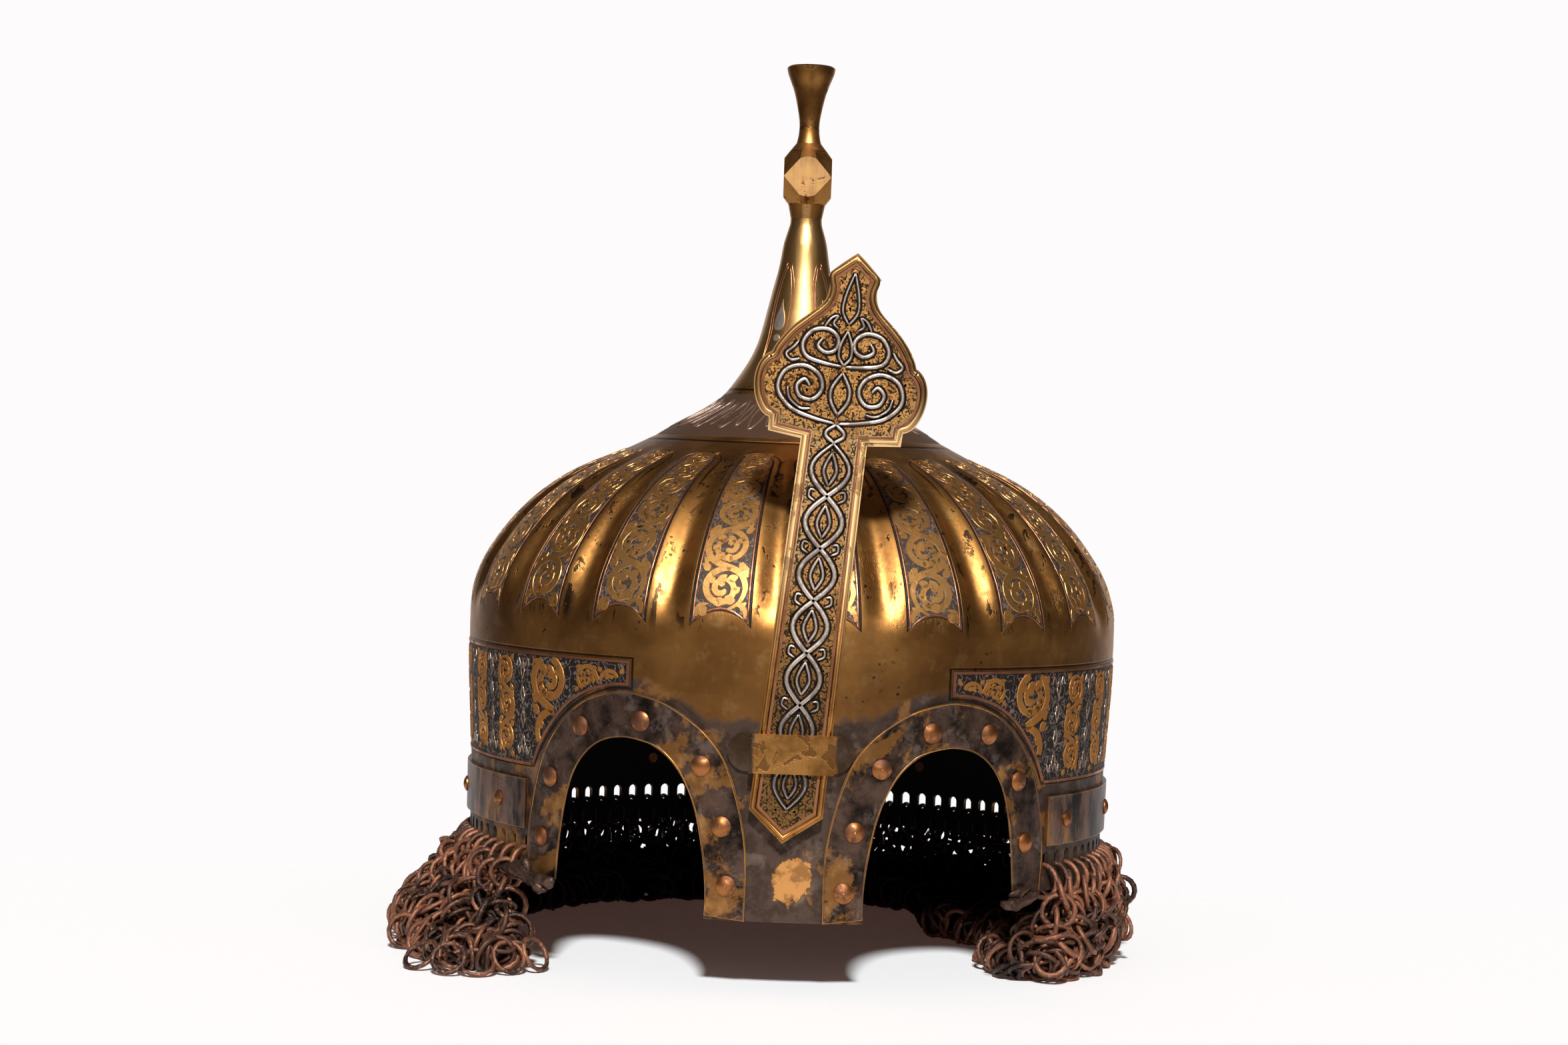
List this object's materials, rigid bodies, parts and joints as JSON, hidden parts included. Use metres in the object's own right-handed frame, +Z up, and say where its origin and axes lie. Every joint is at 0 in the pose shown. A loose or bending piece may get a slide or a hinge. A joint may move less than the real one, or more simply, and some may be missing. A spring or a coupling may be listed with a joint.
{
  "type": "kulah khud helmet",
  "caption": "Fluted brass helmet bowl with a tall finial, riveted eye plates, a sliding nasal bar in a bracket, a rim strap and a mail curtain heaped round its foot.",
  "frame": {"origin": "point on the floor under the axis of the bowl", "axes": "+Z up along the bowl's axis, the front with the nasal bar faces -Y, +X to a viewer's right"},
  "size_m": [0.2715, 0.2505, 0.306],
  "materials": {
    "aged_brass": "satin",
    "bright_brass": "polished",
    "dark_brass": "satin",
    "copper": "satin",
    "silver_inlay": "satin",
    "rusty_iron": "matte"
  },
  "bodies": {
    "helmet": {"skull": "aged_brass", "finial": "bright_brass", "left_eye_plate": "dark_brass", "right_eye_plate": "dark_brass", "left_eye_rivets": "copper", "right_eye_rivets": "copper", "rim_strap": "dark_brass", "strap_rivets": "copper", "nasal_bracket": "aged_brass", "side_band_copper_wire": "copper", "neck_silver_drops": "silver_inlay", "hanging_rings": "rusty_iron", "mail_curtain": "rusty_iron"},
    "nasal": {"nasal_bar": "bright_brass", "nasal_copper_wire": "copper"}
  },
  "joints": [
    {"name": "nasal_slide", "type": "slide", "parent": "helmet", "child": "nasal", "axis": [0.0932, 0, 0.9956], "range_m": [-0.091, 0.012]}
  ]
}
